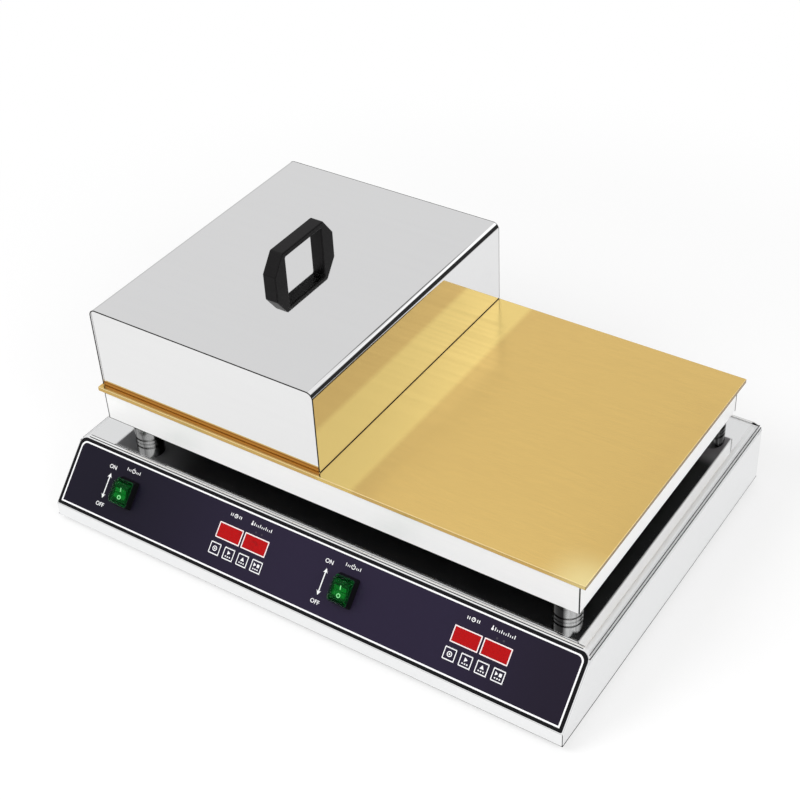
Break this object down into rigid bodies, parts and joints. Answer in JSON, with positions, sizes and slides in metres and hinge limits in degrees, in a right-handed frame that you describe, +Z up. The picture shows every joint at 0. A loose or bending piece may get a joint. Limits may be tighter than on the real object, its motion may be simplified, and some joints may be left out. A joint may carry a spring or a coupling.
{
  "type": "griddle",
  "caption": "Counter-top twin-zone griddle: flat brass-coloured plate on a steel base with a sloped control panel, and a box-shaped lift-off steel cover with a bow handle.",
  "frame": {"origin": "middle of the rectangle that the griddle covers, on the surface under its feet", "axes": "+X to the right along the width, +Y to the back, +Z up"},
  "size_m": [0.64, 0.469, 0.2833],
  "materials": {
    "polished_steel": "mirror-polished stainless sheet",
    "satin_steel": "satin stainless sheet",
    "turned_steel": "turned and polished steel",
    "dark_steel": "heat-blackened sheet",
    "plated_steel": "zinc-plated fasteners",
    "brass_plate": "fine brushed brass-coloured griddle plate",
    "brass_contacts": "plain brass",
    "overlay_film": "dark printed film, fine satin",
    "key_film": "dark printed film key",
    "red_window": "red display filter",
    "black_plastic": "moulded black plastic",
    "black_handle": "moulded black heat-proof plastic, fine texture",
    "green_rocker": "translucent green plastic",
    "clear_cap": "clear soft cap",
    "circuit_board": "green solder resist",
    "display_case": "black display case",
    "rubber_foot": "black rubber",
    "element_sheath": "dark oxidised sheath",
    "fibre_blanket": "white ceramic fibre",
    "wire_sleeve": "glass-fibre sleeved wire",
    "white_print": "white screen printing",
    "ceramic_block": "white terminal block"
  },
  "bodies": {
    "griddle": {"base_shell": "polished_steel", "board_nuts": "plated_steel", "board_spacers": "plated_steel", "bottom_plate": "satin_steel", "clamp_nuts": "plated_steel", "clamp_studs": "plated_steel", "control_board_left": "circuit_board", "control_board_right": "circuit_board", "cover_screws": "plated_steel", "display_modules_left": "display_case", "display_modules_right": "display_case", "display_windows_left": "red_window", "display_windows_right": "red_window", "element_clamps": "satin_steel", "foot_screws": "plated_steel", "front_panel": "polished_steel", "gland_body": "black_plastic", "gland_cap": "black_plastic", "gland_locknut": "black_plastic", "griddle_plate": "brass_plate", "heater_bottom": "dark_steel", "heater_housing": "polished_steel", "heater_leads": "wire_sleeve", "heating_element_left": "element_sheath", "heating_element_right": "element_sheath", "insulation_blanket": "fibre_blanket", "lead_sleeves": "turned_steel", "leg_bolts": "plated_steel", "leg_nuts": "plated_steel", "limit_thermostats": "ceramic_block", "panel_overlay": "overlay_film", "rear_panel": "satin_steel", "relay_left": "display_case", "relay_right": "display_case", "rubber_feet": "rubber_foot", "side_ledges": "satin_steel", "support_legs": "turned_steel", "switch_body_left": "black_plastic", "switch_body_right": "black_plastic", "switch_cap_left": "clear_cap", "switch_cap_right": "clear_cap", "switch_terminals": "brass_contacts", "temperature_probe_left": "turned_steel", "temperature_probe_right": "turned_steel", "terminal_blocks": "ceramic_block"},
    "lid": {"lid_shell": "polished_steel", "lid_front_plate": "polished_steel", "lid_rear_plate": "polished_steel", "lid_handle": "black_handle", "handle_screws": "plated_steel"},
    "left_rocker": {"switch_rocker_left": "green_rocker"},
    "left_key_1": {"key_left_1": "key_film"},
    "left_key_2": {"key_left_2": "key_film"},
    "left_key_3": {"key_left_3": "key_film"},
    "left_key_4": {"key_left_4": "key_film"},
    "right_rocker": {"switch_rocker_right": "green_rocker"},
    "right_key_1": {"key_right_1": "key_film"},
    "right_key_2": {"key_right_2": "key_film"},
    "right_key_3": {"key_right_3": "key_film"},
    "right_key_4": {"key_right_4": "key_film"}
  },
  "joints": [
    {"name": "lid_lift", "type": "slide", "parent": "griddle", "child": "lid", "axis": [0, 0, 1], "range_m": [0, 0.15]},
    {"name": "left_switch_rock", "type": "hinge", "parent": "griddle", "child": "left_rocker", "pos_m": [-0.2362, -0.20853, 0.05567], "axis": [-1, 0, 0], "range_deg": [0, 20]},
    {"name": "left_key_1_press", "type": "slide", "parent": "griddle", "child": "left_key_1", "axis": [0, 0.7221, -0.6918], "range_m": [0, 0.0004], "stiffness_N_per_m": 2500},
    {"name": "left_key_2_press", "type": "slide", "parent": "griddle", "child": "left_key_2", "axis": [0, 0.7221, -0.6918], "range_m": [0, 0.0004], "stiffness_N_per_m": 2500},
    {"name": "left_key_3_press", "type": "slide", "parent": "griddle", "child": "left_key_3", "axis": [0, 0.7221, -0.6918], "range_m": [0, 0.0004], "stiffness_N_per_m": 2500},
    {"name": "left_key_4_press", "type": "slide", "parent": "griddle", "child": "left_key_4", "axis": [0, 0.7221, -0.6918], "range_m": [0, 0.0004], "stiffness_N_per_m": 2500},
    {"name": "right_switch_rock", "type": "hinge", "parent": "griddle", "child": "right_rocker", "pos_m": [0.0548, -0.20853, 0.05567], "axis": [-1, 0, 0], "range_deg": [0, 20]},
    {"name": "right_key_1_press", "type": "slide", "parent": "griddle", "child": "right_key_1", "axis": [0, 0.7221, -0.6918], "range_m": [0, 0.0004], "stiffness_N_per_m": 2500},
    {"name": "right_key_2_press", "type": "slide", "parent": "griddle", "child": "right_key_2", "axis": [0, 0.7221, -0.6918], "range_m": [0, 0.0004], "stiffness_N_per_m": 2500},
    {"name": "right_key_3_press", "type": "slide", "parent": "griddle", "child": "right_key_3", "axis": [0, 0.7221, -0.6918], "range_m": [0, 0.0004], "stiffness_N_per_m": 2500},
    {"name": "right_key_4_press", "type": "slide", "parent": "griddle", "child": "right_key_4", "axis": [0, 0.7221, -0.6918], "range_m": [0, 0.0004], "stiffness_N_per_m": 2500}
  ]
}
